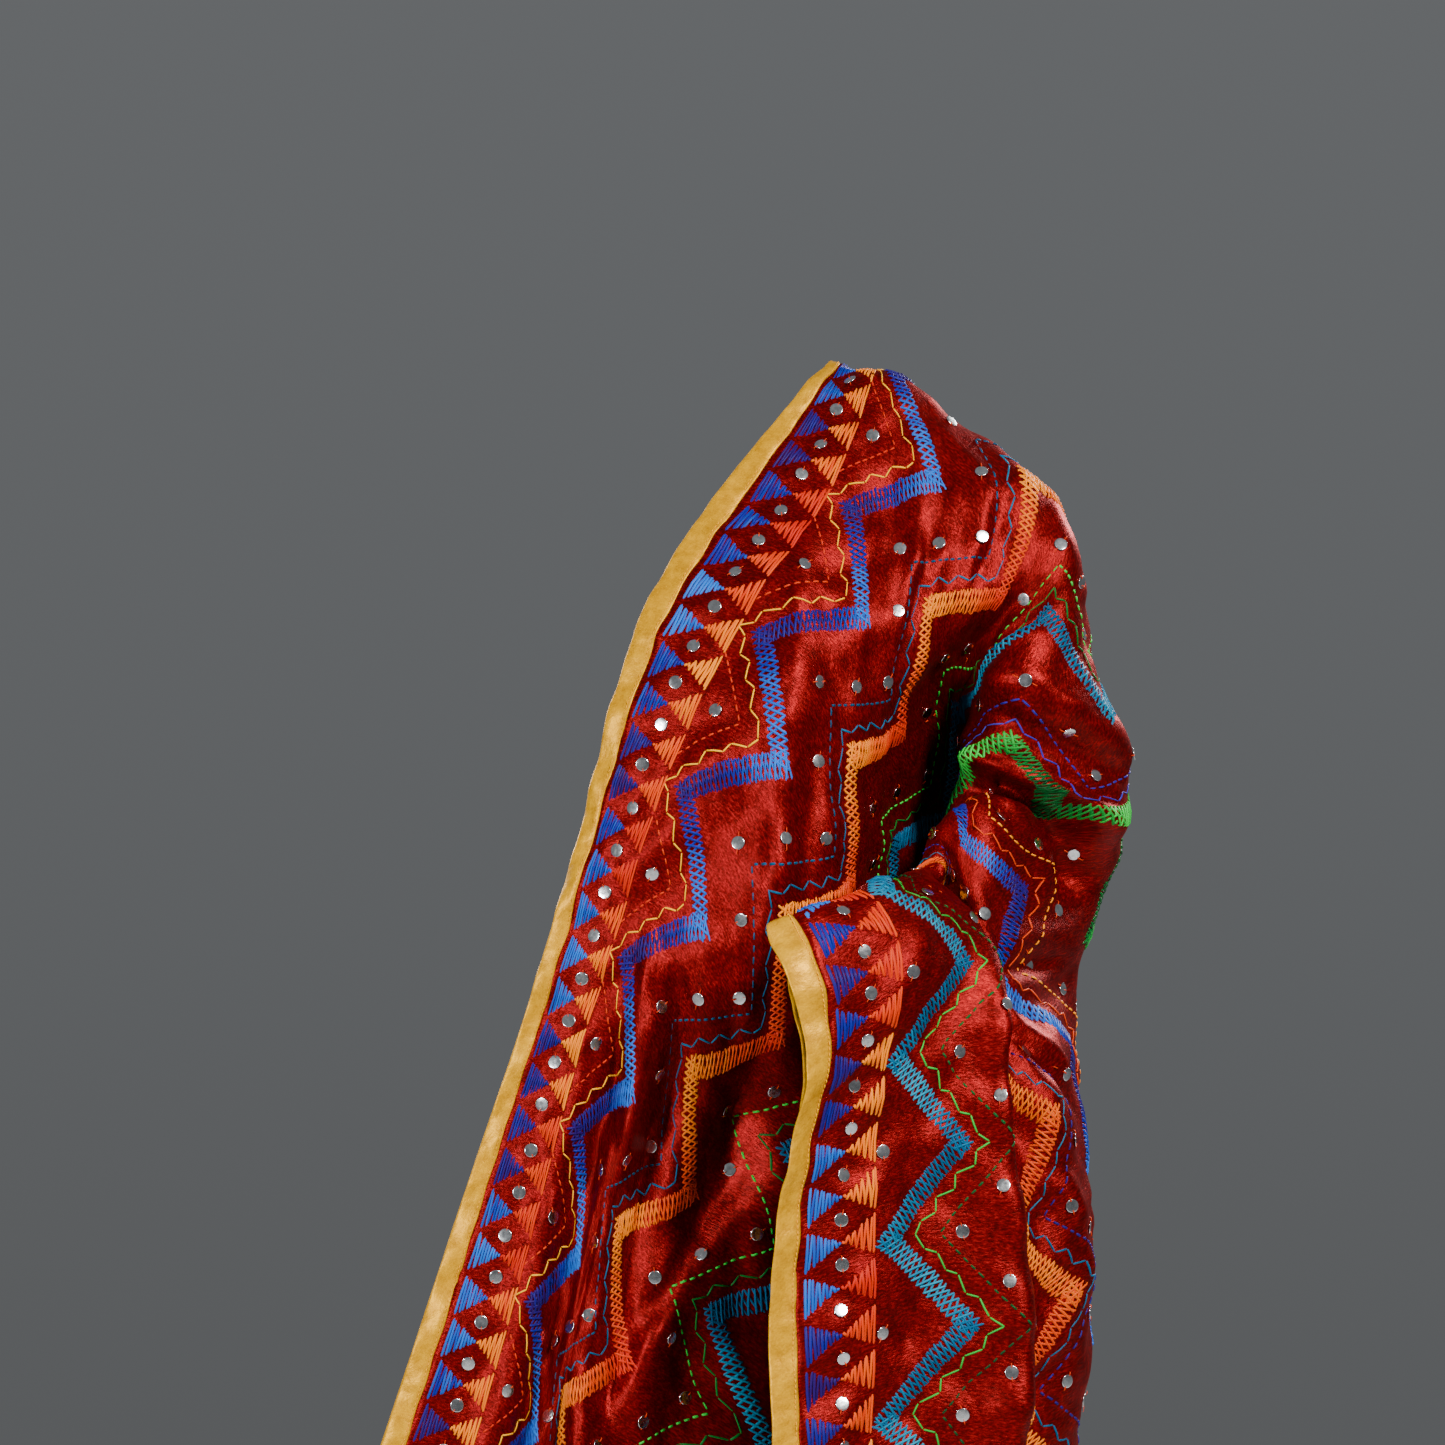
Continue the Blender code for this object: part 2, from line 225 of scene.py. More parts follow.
LINES = (
    Line(0.000, 0.000,
         (-0.360, 0.110, -1.120), (-0.295, 0.110, -0.680), (-0.225, 0.108, -0.390),
         (-0.155, 0.098, -0.190), (-0.095, 0.070, -0.030), (-0.062, 0.020, 0.025),
         (-0.145, -0.050, -0.075), (-0.205, -0.095, -0.180), (-0.255, -0.120, -0.365),
         (-0.300, -0.130, -0.505), (-0.370, -0.140, -0.715), (-0.475, -0.140, -1.020)),
    Line(SET_FIRST, 0.000,
         (-0.235, 0.115, -1.130), (-0.185, 0.115, -0.690), (-0.115, 0.112, -0.390),
         (-0.050, 0.096, -0.170), (0.000, 0.050, -0.025), (0.005, 0.000, 0.000),
         (-0.018, -0.060, -0.075), (-0.082, -0.120, -0.180), (-0.165, -0.145, -0.345),
         (-0.228, -0.130, -0.525), (-0.276, -0.135, -0.715), (-0.360, -0.140, -1.010)),
    Line(SET_FIRST + SET_STEP, -0.008,
         (-0.130, 0.105, -1.180), (-0.098, 0.105, -0.740), (-0.050, 0.105, -0.430),
         (0.020, 0.088, -0.225), (0.091, 0.027, -0.107), (0.102, -0.035, -0.084),
         (0.047, -0.071, -0.136), (-0.016, -0.082, -0.225), (-0.069, -0.132, -0.365),
         (-0.147, -0.128, -0.502), (-0.234, -0.132, -0.698), (-0.288, -0.141, -1.008)),
    Line(SET_FIRST + 2 * SET_STEP, -0.066,
         (-0.040, 0.080, -1.300), (-0.020, 0.082, -0.790), (0.015, 0.088, -0.450),
         (0.068, 0.080, -0.275), (0.123, 0.029, -0.219), (0.131, -0.033, -0.205),
         (0.083, -0.080, -0.184), (0.024, 0.028, -0.257), (-0.021, -0.035, -0.401),
         (-0.075, -0.076, -0.561), (-0.130, -0.105, -0.720), (-0.190, -0.125, -1.200)),
    Line(SET_FIRST + 3 * SET_STEP, -0.096,
         (0.050, 0.035, -1.450), (0.062, 0.038, -0.890), (0.086, 0.044, -0.545),
         (0.116, 0.036, -0.402), (0.143, 0.010, -0.338), (0.140, -0.024, -0.310),
         (0.096, -0.057, -0.283), (0.052, -0.063, -0.270), (0.031, -0.024, -0.272),
         (0.046, 0.022, -0.346), (0.002, 0.006, -0.650), (-0.095, -0.052, -1.320)),
    Line(SET_FIRST + 4 * SET_STEP, -0.030,
         (0.074, -0.040, -1.460), (0.078, -0.040, -0.880), (0.122, -0.048, -0.600),
         (0.100, -0.082, -0.456), (0.056, -0.106, -0.363), (0.030, -0.084, -0.297),
         (0.020, -0.069, -0.312), (0.006, -0.062, -0.384), (0.000, -0.064, -0.600),
         (-0.004, -0.066, -0.750), (-0.012, -0.068, -0.900), (-0.040, -0.074, -1.480)),
    Line(SET_FIRST + 5 * SET_STEP, -0.028,
         (0.048, -0.150, -1.460), (0.052, -0.150, -0.898), (0.090, -0.156, -0.640),
         (0.062, -0.151, -0.475), (0.024, -0.125, -0.363), (0.003, -0.105, -0.338),
         (-0.010, -0.091, -0.355), (-0.014, -0.096, -0.421), (-0.018, -0.105, -0.600),
         (-0.020, -0.112, -0.750), (-0.022, -0.116, -0.900), (-0.030, -0.120, -1.480)),
    Line(SET_FIRST + 6 * SET_STEP, -0.030,
         (-0.008, -0.205, -1.460), (-0.013, -0.205, -0.898), (0.001, -0.206, -0.636),
         (0.006, -0.205, -0.436), (0.007, -0.194, -0.374), (-0.031, -0.167, -0.350),
         (-0.044, -0.151, -0.368), (-0.047, -0.150, -0.430), (-0.048, -0.155, -0.600),
         (-0.050, -0.158, -0.750), (-0.052, -0.160, -0.900), (-0.055, -0.160, -1.480)),
    Line(WIDTH, -0.049,
         (-0.110, -0.245, -1.460), (-0.106, -0.245, -0.760), (-0.096, -0.250, -0.530),
         (-0.086, -0.263, -0.449), (-0.096, -0.261, -0.416), (-0.111, -0.240, -0.376),
         (-0.101, -0.215, -0.404), (-0.091, -0.205, -0.450), (-0.086, -0.200, -0.600),
         (-0.084, -0.198, -0.750), (-0.082, -0.196, -0.900), (-0.080, -0.195, -1.480)),
)

# Folds, as in the part's source: from and to on the flat cloth, width and height
Fold = namedtuple("Fold", "name u_from v_from u_to v_to width height")

FOLDS = [Fold(*row) for row in (
    ("neck edge turn", 0.085, 0.520, 0.090, 1.100, 0.022, 0.012),
    ("neck edge tuck", 0.122, 0.520, 0.128, 0.960, 0.026, -0.011),
    ("chest ridge", 0.060, 0.150, 0.215, 0.430, 0.035, 0.008),
    ("hip ridge", 0.120, 0.470, 0.250, 0.800, 0.026, 0.016),
    ("hip valley", 0.160, 0.470, 0.290, 0.800, 0.024, -0.016),
    ("hem ridge", 0.235, 0.720, 0.300, 1.100, 0.030, 0.016),
    ("cross fold", 0.330, 0.460, 0.255, 0.800, 0.028, 0.012),
    ("wrist shadow", 0.260, 0.440, 0.380, 1.100, 0.032, -0.020),
    ("arm tuck", 0.315, 0.120, 0.270, 0.030, 0.020, -0.012),
    ("arm bulge", 0.365, 0.065, 0.410, -0.140, 0.030, 0.014),
    ("elbow overhang", 0.470, 0.015, 0.450, -0.165, 0.022, 0.006),
    ("elbow tuck", 0.518, -0.020, 0.500, -0.175, 0.026, -0.010),
    ("pinch", 0.665, 0.005, 0.660, -0.215, 0.026, -0.028),
    ("panel ridge", 0.725, -0.075, 0.735, -1.200, 0.026, 0.018),
    ("panel valley", 0.680, -0.175, 0.690, -1.200, 0.024, -0.016),
    ("elbow drop", 0.640, -0.175, 0.600, -1.200, 0.030, 0.008),
    ("inner gather 1", 0.530, 0.060, 0.530, 1.000, 0.034, -0.006),
    ("inner gather 2", 0.600, 0.060, 0.600, 1.200, 0.030, 0.010),
    ("inner gather 3", 0.670, 0.060, 0.670, 1.200, 0.030, -0.010),
    ("inner gather 4", 0.740, 0.060, 0.740, 1.200, 0.030, 0.010),
    ("inner gather 5", 0.820, 0.060, 0.820, 1.200, 0.032, -0.009),
    ("back fold 1", 0.070, -0.160, 0.080, -1.200, 0.036, -0.012),
    ("back fold 2", 0.150, -0.120, 0.165, -1.200, 0.034, 0.015),
    ("back fold 3", 0.225, -0.180, 0.245, -1.200, 0.034, -0.010),
    ("back fold 4", 0.300, -0.220, 0.325, -1.200, 0.034, 0.011),
    ("back fold 5", 0.380, -0.310, 0.400, -1.200, 0.034, -0.012),
    ("back fold 6", 0.455, -0.300, 0.475, -1.200, 0.034, 0.014),
)]

# Finer creases, which the solids leave out
CREASES = [Fold(*row) for row in (
    ("overlap", 0.140, 0.090, 0.205, 0.200, 0.009, 0.0040),
    ("overlap shadow", 0.156, 0.085, 0.222, 0.205, 0.008, -0.0045),
    ("crease", 0.190, 0.020, 0.238, 0.110, 0.007, -0.0040),
    ("crease ridge", 0.178, 0.020, 0.224, 0.110, 0.008, 0.0030),
    ("shoulder ridge", 0.120, 0.020, 0.150, 0.120, 0.012, 0.0030),
    ("chest ridge top", 0.068, 0.150, 0.135, 0.290, 0.012, 0.0035),
    ("chest ridge low", 0.130, 0.270, 0.208, 0.430, 0.013, 0.0045),
    ("chest valley", 0.165, 0.270, 0.235, 0.440, 0.013, -0.0040),
    ("neck edge shadow", 0.082, 0.540, 0.118, 0.860, 0.008, -0.0050),
    ("front ridge", 0.108, 0.470, 0.142, 0.600, 0.010, 0.0055),
    ("front ridge low", 0.142, 0.600, 0.190, 0.780, 0.010, 0.0060),
    ("front valley", 0.152, 0.470, 0.178, 0.570, 0.010, -0.0060),
    ("front valley low", 0.178, 0.560, 0.215, 0.740, 0.010, -0.0060),
    ("hem valley", 0.205, 0.730, 0.225, 0.900, 0.011, -0.0055),
    ("hem ridge fine", 0.235, 0.700, 0.262, 0.900, 0.011, 0.0045),
    ("slanting crease", 0.292, 0.530, 0.250, 0.740, 0.007, -0.0045),
    ("slanting ridge", 0.302, 0.540, 0.264, 0.740, 0.009, 0.0035),
    ("front hollow", 0.240, 0.430, 0.345, 0.660, 0.014, -0.0045),
    ("arm crease", 0.348, 0.118, 0.311, -0.010, 0.007, -0.0065),
    ("arm crease lip", 0.364, 0.118, 0.326, 0.000, 0.009, 0.0045),
    ("arm crease up", 0.212, 0.010, 0.300, 0.012, 0.009, -0.0030),
    ("arm ridge up", 0.245, 0.035, 0.290, 0.045, 0.011, 0.0030),
    ("arm highlight", 0.358, 0.030, 0.398, -0.070, 0.010, 0.0045),
    ("arm valley", 0.402, 0.030, 0.420, -0.090, 0.009, -0.0055),
    ("arm ridge low", 0.430, 0.050, 0.436, -0.100, 0.009, 0.0035),
    ("lip", 0.448, 0.060, 0.464, -0.110, 0.010, 0.0100),
    ("lip pocket", 0.474, 0.060, 0.492, -0.160, 0.0125, -0.0220),
    ("elbow ridge", 0.520, -0.020, 0.512, -0.150, 0.010, 0.0040),
    ("pinch up", 0.664, -0.130, 0.668, -0.010, 0.008, -0.0065),
    ("pinch to elbow", 0.662, -0.125, 0.500, -0.190, 0.007, -0.0070),
    ("pinch to elbow ridge", 0.655, -0.108, 0.500, -0.165, 0.009, 0.0040),
    ("elbow shade", 0.650, -0.160, 0.490, -0.218, 0.020, -0.0070),
    ("forearm ridge", 0.690, -0.100, 0.770, -0.050, 0.012, 0.0040),
    ("forearm crease", 0.740, -0.030, 0.830, -0.075, 0.009, -0.0030),
    ("panel ridge top", 0.738, -0.120, 0.722, -0.260, 0.008, 0.0060),
    ("panel ridge", 0.722, -0.230, 0.716, -0.620, 0.010, 0.0050),
    ("panel valley", 0.704, -0.130, 0.694, -0.420, 0.009, -0.0060),
    ("panel slant", 0.640, -0.140, 0.574, -0.270, 0.007, 0.0050),
    ("panel slant shadow", 0.656, -0.150, 0.592, -0.280, 0.008, -0.0050),
    ("panel slant low", 0.652, -0.270, 0.628, -0.380, 0.008, 0.0045),
    ("panel crease", 0.800, -0.220, 0.790, -0.600, 0.012, -0.0030),
    ("panel crease low", 0.850, -0.400, 0.830, -0.900, 0.012, 0.0030),
    ("back 1", 0.110, -0.060, 0.180, -0.420, 0.011, -0.0050),
    ("back 2", 0.200, -0.120, 0.230, -0.560, 0.012, 0.0045),
    ("back 3", 0.270, -0.100, 0.330, -0.380, 0.010, -0.0050),
    ("back 4", 0.340, -0.240, 0.360, -0.700, 0.012, 0.0050),
    ("back 5", 0.420, -0.260, 0.430, -0.800, 0.012, -0.0045),
    ("back 6", 0.500, -0.300, 0.520, -0.900, 0.012, 0.0050),
    ("back 7", 0.040, -0.300, 0.100, -0.800, 0.012, 0.0035),
    ("back 8", 0.570, -0.330, 0.560, -0.820, 0.012, -0.0045),
    ("back 9", 0.240, -0.560, 0.290, -0.960, 0.011, -0.0045),
)]

# Low ripples all over the cloth: wavelength, direction on the flat cloth, height and
# start, then how they sway to and fro
Ripple = namedtuple("Ripple", "length degrees height start")

RIPPLES = (
    Ripple(0.131, 24, 0.0022, 3.3),
    Ripple(0.083, 12, 0.0016, 0.3),
    Ripple(0.061, 64, 0.0013, 1.9),
    Ripple(0.047, 128, 0.0010, 4.1),
    Ripple(0.036, 35, 0.00065, 2.7),
    Ripple(0.029, 97, 0.00045, 5.2),
    Ripple(0.023, 151, 0.0003, 0.9),
)
SWAY = 0.8
SWAY_ALONG = 2.1
SWAY_ACROSS = 7

# Thread colours: dark, middle and light tones of each skein
Skein = namedtuple("Skein", "name dark middle light")

SKEINS = (
    Skein("blue", (0.022, 0.001, 0.110), (0.006, 0.012, 0.270), (0.012, 0.155, 0.640)),
    Skein("orange", (0.560, 0.011, 0.000), (0.760, 0.065, 0.000), (0.920, 0.250, 0.000)),
    Skein("teal", (0.000, 0.030, 0.075), (0.000, 0.105, 0.230), (0.000, 0.300, 0.450)),
    Skein("green", (0.000, 0.032, 0.010), (0.002, 0.170, 0.022), (0.015, 0.600, 0.050)),
    Skein("violet", (0.012, 0.004, 0.140), (0.030, 0.018, 0.340), (0.090, 0.110, 0.650)),
    Skein("gold", (0.900, 0.110, 0.000), (1.000, 0.300, 0.000), (1.000, 0.520, 0.010)),
)

# Each zigzag set: the band's skein, its tones at the inner tip, halfway out, at the
# outer tip and halfway in, then the skeins and tones of its two lines
Zigzag = namedtuple("Zigzag", "band tip_in going_out tip_out going_in "
                              "stepped stepped_tone running running_tone")

ZIGZAGS = (
    Zigzag("blue", 0.04, 0.72, 0.98, 0.22, "gold", 0.80, "orange", 0.15),
    Zigzag("orange", 0.98, 0.60, 0.06, 0.62, "teal", 0.50, "teal", 0.20),
    Zigzag("teal", 0.30, 0.80, 0.60, 0.35, "green", 0.45, "green", 0.95),
    Zigzag("green", 0.60, 0.95, 0.30, 0.10, "violet", 0.60, "violet", 0.30),
    Zigzag("blue", 0.10, 0.90, 0.80, 0.20, "orange", 0.35, "gold", 0.45),
    Zigzag("orange", 0.60, 0.75, 0.95, 0.40, "teal", 0.55, "blue", 0.15),
    Zigzag("teal", 0.40, 0.85, 0.60, 0.30, "green", 0.80, "green", 0.15),
)

FIRST_PLACE = Line._fields.index("tail")
CREST_PLACE = Line._fields.index("crest") - FIRST_PLACE


def spline(knots, values, at):
    """Natural cubic spline through values at knots, read at the given places."""
    knots = np.asarray(knots, float)
    values = np.asarray(values, float)
    count = len(knots)
    step = np.diff(knots)
    matrix = np.eye(count)
    right = np.zeros_like(values)
    for i in range(1, count - 1):
        matrix[i, i - 1:i + 2] = step[i - 1], 2 * (step[i - 1] + step[i]), step[i]
        rise_after = (values[i + 1] - values[i]) / step[i]
        rise_before = (values[i] - values[i - 1]) / step[i - 1]
        right[i] = 6 * (rise_after - rise_before)
    bend = np.linalg.solve(matrix, right.reshape(count, -1)).reshape(values.shape)
    cell = np.clip(np.searchsorted(knots, at) - 1, 0, count - 2)
    shape = (-1,) + (1,) * (values.ndim - 1)
    width = step[cell].reshape(shape)
    b = (np.asarray(at) - knots[cell]).reshape(shape) / width
    a = 1 - b
    curve = ((a ** 3 - a) * bend[cell] + (b ** 3 - b) * bend[cell + 1]) * width ** 2 / 6
    return a * values[cell] + b * values[cell + 1] + curve


def run_along(path):
    """Distance along a path of points, from its first point."""
    steps = np.linalg.norm(np.diff(path, axis=0), axis=1)
    return np.concatenate([[0.0], np.cumsum(steps)])


def line_points(line, v_values):
    """Points of one line of the drape at the given v, measured along the line."""
    places = np.array(line[FIRST_PLACE:])
    chord = run_along(places)
    fine = np.linspace(0, chord[-1], PATH_POINTS)
    path = spline(chord, places, fine)
    run = run_along(path)
    v_path = run - np.interp(chord[CREST_PLACE], fine, run) + line.crest_v
    return np.stack([np.interp(v_values, v_path, path[:, axis]) for axis in range(3)], axis=1)


def draped(u_values, v_values):
    """The cloth without its folds: an array of points, v along the first axis."""
    lines = np.stack([line_points(line, v_values) for line in LINES])
    across = spline([line.u for line in LINES], lines, u_values)
    return np.swapaxes(across, 0, 1)


def smooth_step(x):
    """0 to 1 with level ends."""
    x = np.clip(x, 0, 1)
    return x * x * (3 - 2 * x)


def fold_height(u, v, folds, fade):
    """Height of all the folds of a table together at each place of the flat cloth."""
    total = np.zeros(np.broadcast(u, v).shape)
    for fold in folds:
        u_run, v_run = fold.u_to - fold.u_from, fold.v_to - fold.v_from
        if abs(v_run) > abs(u_run):
            part = (v - fold.v_from) / v_run
            away = u - fold.u_from - u_run * part
        else:
            part = (u - fold.u_from) / u_run
            away = v - fold.v_from - v_run * part
        length = max(abs(u_run), abs(v_run))
        rise = smooth_step(part * length / fade)
        fall = smooth_step((1 - part) * length / fade)
        total += fold.height * rise * fall * np.exp(-(away / fold.width) ** 2)
    return total


def ripple_height(u, v):
    """Low ripples of satin, uneven because each sways to and fro."""
    total = np.zeros(np.broadcast(u, v).shape)
    for ripple in RIPPLES:
        angle = np.radians(ripple.degrees)
        run = u * np.cos(angle) + v * np.sin(angle)
        across = v * np.cos(angle) - u * np.sin(angle)
        sway = SWAY * np.sin(SWAY_ALONG * run / ripple.length + SWAY_ACROSS * across)
        total += ripple.height * np.sin(2 * np.pi * run / ripple.length + ripple.start + sway)
    return total


def unit(vectors):
    """Vectors of the same directions, each of length 1."""
    return vectors / np.linalg.norm(vectors, axis=-1, keepdims=True)


def normals(points):
    """Unit vectors out of the right side at every point of a grid."""
    along_v = np.gradient(points, axis=0)
    along_u = np.gradient(points, axis=1)
    return unit(np.cross(along_v, along_u))


class Drape:
    """The hanging cloth, read at any place of the flat cloth."""

    def __init__(self):
        self.u = np.linspace(0, WIDTH, int(round(WIDTH / GRID_STEP)) + 1)
        self.v = np.linspace(-BACK_LENGTH, FRONT_LENGTH,
                             int(round((BACK_LENGTH + FRONT_LENGTH) / GRID_STEP)) + 1)
        base = draped(self.u, self.v)
        u, v = self.u[None, :], self.v[:, None]
        height = fold_height(u, v, FOLDS, FOLD_FADE)
        height = height + fold_height(u, v, CREASES, CREASE_FADE) + ripple_height(u, v)
        self.points = base + normals(base) * height[..., None]
        self.out = normals(self.points)

    def read(self, table, u, v):
        """A table of the grid between its points, up to just short of the last ones."""
        x = np.clip(np.asarray(u) / GRID_STEP, 0, len(self.u) - 1.001)
        y = np.clip((np.asarray(v) + BACK_LENGTH) / GRID_STEP, 0, len(self.v) - 1.001)
        i, j = y.astype(int), x.astype(int)
        fy, fx = (y - i)[..., None], (x - j)[..., None]
        low = table[i, j] * (1 - fx) + table[i, j + 1] * fx
        high = table[i + 1, j] * (1 - fx) + table[i + 1, j + 1] * fx
        return low * (1 - fy) + high * fy

    def place(self, u, v, lift):
        """Points at u and v, lifted off the middle of the cloth to its right side."""
        out = self.read(self.out, u, v)
        return self.read(self.points, u, v) + out * np.asarray(lift)[..., None]


drape = Drape()


def slid(u, v):
    """Flat places moved by as much as the sewing is off its even rows there."""
    across, along = u, v
    for slide in SLIDES:
        share = np.exp(-((u - slide.across) / slide.reach) ** 2
                       - ((v - slide.along) / slide.reach) ** 2)
        across = across + slide.by_across * share
        along = along + slide.by_along * share
    return across, along


def add_object(name, data):
    """A new object in the scene."""
    thing = bpy.data.objects.new(name, data)
    bpy.context.scene.collection.objects.link(thing)
    return thing


def make_object(name, points, faces, material, uv=None, tone=None):
    """A smooth mesh object; uv and tone have one entry for each point."""
    mesh = bpy.data.meshes.new(name)
    mesh.from_pydata(points.tolist(), [], faces.tolist())
    mesh.shade_smooth()
    if uv is not None:
        layer = mesh.uv_layers.new(name="flat")
        corners = np.zeros(len(mesh.loops), int)
        mesh.loops.foreach_get("vertex_index", corners)
        layer.data.foreach_set("uv", uv[corners].astype(np.float32).ravel())
    if tone is not None:
        attribute = mesh.attributes.new("tone", "FLOAT", "POINT")
        attribute.data.foreach_set("value", tone.astype(np.float32))
    mesh.materials.append(material)
    return add_object(name, mesh)


class Nodes:
    """Short calls for the nodes of a material or of the world."""

    def __init__(self, owner):
        owner.use_nodes = True
        self.owner = owner
        self.tree = owner.node_tree
        self.shader = self.tree.nodes.get("Principled BSDF") or self.tree.nodes["Background"]

    def feed(self, socket, value):
        if isinstance(value, bpy.types.NodeSocket):
            self.tree.links.new(value, socket)
        else:
            socket.default_value = value

    def feed_all(self, node, inputs):
        for key, value in inputs.items():
            self.feed(node.inputs[key.replace("_", " ")], value)
        return node

    def add(self, kind, **inputs):
        return self.feed_all(self.tree.nodes.new(kind), inputs)

    def flat_place(self):
        """The place on the flat cloth, in metres."""
        node = self.add("ShaderNodeUVMap")
        node.uv_map = "flat"
        return node.outputs["UV"]

    def object_place(self):
        """The place in the object's own space, in metres."""
        return self.add("ShaderNodeTexCoord").outputs["Object"]

    def noise(self, vector, scale, detail=2.0, roughness=0.5):
        node = self.add("ShaderNodeTexNoise", Vector=vector, Scale=scale, Detail=detail,
                        Roughness=roughness)
        return node.outputs["Fac"]

    def ramp(self, fac, stops):
        node = self.add("ShaderNodeValToRGB", Fac=fac)
        elements = node.color_ramp.elements
        while len(elements) < len(stops):
            elements.new(0.5)
        for element, (at, colour) in zip(elements, stops):
            element.position = at
            element.color = (*colour, 1.0)
        return node.outputs["Color"]

    def math(self, operation, first, second):
        node = self.add("ShaderNodeMath")
        node.operation = operation
        self.feed(node.inputs[0], first)
        self.feed(node.inputs[1], second)
        return node.outputs[0]

    def scaled(self, value, by, plus):
        """A value times by, plus a number or another value."""
        return self.math("ADD", self.math("MULTIPLY", value, by), plus)

    def bump(self, height, strength, distance, after=None):
        node = self.add("ShaderNodeBump", Height=height, Strength=strength, Distance=distance)
        if after is not None:
            self.feed(node.inputs["Normal"], after)
        return node.outputs["Normal"]

    def finish(self, **inputs):
        self.feed_all(self.shader, inputs)
        return self.owner


def satin_material():
    """Maroon satin: grainy sheen, soft crumple and a fine weave."""
    nodes = Nodes(bpy.data.materials.new("maroon satin"))
    place = nodes.flat_place()
    slub_place = nodes.add("ShaderNodeMapping", Vector=place, Scale=(0.45, 1.0, 1.0))
    grain = nodes.noise(slub_place.outputs["Vector"], 620.0, 3.0, 0.7)
    mottle = nodes.noise(place, 95.0, 3.0, 0.6)
    broad = nodes.noise(place, 17.0)
    tone = nodes.scaled(grain, 0.7, nodes.math("MULTIPLY", mottle, 0.3))
    colour = nodes.ramp(tone, ((0.36, (0.060, 0.0004, 0.0009)), (0.50, (0.150, 0.0015, 0.0026)),
                               (0.66, (0.400, 0.0080, 0.0100))))
    normal = nodes.bump(broad, 0.60, 0.0050)
    normal = nodes.bump(mottle, 0.50, 0.0007, normal)
    normal = nodes.bump(grain, 0.85, 0.0006, normal)
    return nodes.finish(Base_Color=colour, Roughness=nodes.scaled(grain, 0.26, 0.27),
                        Normal=normal, Metallic=0.65, Specular_IOR_Level=0.55,
                        Specular_Tint=(1.0, 0.26, 0.22, 1.0),
                        Sheen_Weight=0.02, Sheen_Roughness=0.30,
                        Sheen_Tint=(1.0, 0.25, 0.20, 1.0))


def binding_material():
    """Yellow satin of the bound edge."""
    nodes = Nodes(bpy.data.materials.new("yellow binding"))
    place = nodes.flat_place()
    grain = nodes.noise(place, 620.0, 3.0, 0.7)
    mottle = nodes.noise(place, 110.0, 3.0, 0.6)
    tone = nodes.scaled(mottle, 0.6, nodes.math("MULTIPLY", grain, 0.4))
    colour = nodes.ramp(tone, ((0.30, (0.420, 0.175, 0.000)), (0.52, (0.700, 0.330, 0.000)),
                               (0.70, (0.900, 0.450, 0.001))))
    normal = nodes.bump(mottle, 0.50, 0.0014)
    normal = nodes.bump(grain, 0.35, 0.0003, normal)
    return nodes.finish(Base_Color=colour, Roughness=0.42, Normal=normal, Metallic=0.25,
                        Specular_IOR_Level=0.35, Specular_Tint=(1.0, 0.80, 0.45, 1.0))


def thread_material(skein):
    """Glossy floss; each stitch has its own tone from dark to light."""
    nodes = Nodes(bpy.data.materials.new(skein.name + " floss"))
    tone = nodes.add("ShaderNodeAttribute")
    tone.attribute_name = "tone"
    colour = nodes.ramp(tone.outputs["Fac"],
                        ((0.0, skein.dark), (0.5, skein.middle), (1.0, skein.light)))
    fibre = nodes.noise(nodes.object_place(), 900.0, 2.0, 0.6)
    return nodes.finish(Base_Color=colour, Roughness=0.45, Specular_IOR_Level=0.15,
                        Normal=nodes.bump(fibre, 0.25, 0.0003))


def mirror_material():
    """Silvered plastic of the round mirrors, slightly scuffed."""
    nodes = Nodes(bpy.data.materials.new("mirror"))
    scuff = nodes.noise(nodes.object_place(), 260.0, 3.0, 0.6)
    colour = nodes.ramp(scuff, ((0.30, (0.62, 0.63, 0.64)), (0.70, (0.92, 0.93, 0.94))))
    return nodes.finish(Base_Color=colour, Metallic=1.0,
                        Roughness=nodes.scaled(scuff, 0.16, 0.10),
                        Normal=nodes.bump(scuff, 0.15, 0.0004))


def stage_material():
    """Plain pale studio paper."""
    nodes = Nodes(bpy.data.materials.new("pale floor"))
    grain = nodes.noise(nodes.object_place(), 3.0)
    colour = nodes.ramp(grain, ((0.0, (0.74, 0.74, 0.73)), (1.0, (0.78, 0.78, 0.77))))
    return nodes.finish(Base_Color=colour, Roughness=0.85)


def spaced(start, end, cell):
    """Places from start to end, about one cell apart."""
    return np.linspace(start, end, int(np.ceil((end - start) / cell)) + 1)


def grid_quads(index, turned=False):
    """Quads over a grid of point numbers, or the same facing the other way."""
    a, b = index[:-1, :-1], index[:-1, 1:]
    c, d = index[1:, 1:], index[1:, :-1]
    corners = (a, d, c, b) if turned else (a, b, c, d)
    return np.stack(corners, axis=-1).reshape(-1, 4)


def closed(index):
    """A grid of point numbers with its first column once more at its end."""
    return np.concatenate([index, index[:, :1]], axis=1)


def repeated(faces, points_each, count):
    """The faces of a number of like parts, each with its own points."""
    offsets = np.arange(count) * points_each
    return (faces[None] + offsets[:, None, None]).reshape(-1, 4)


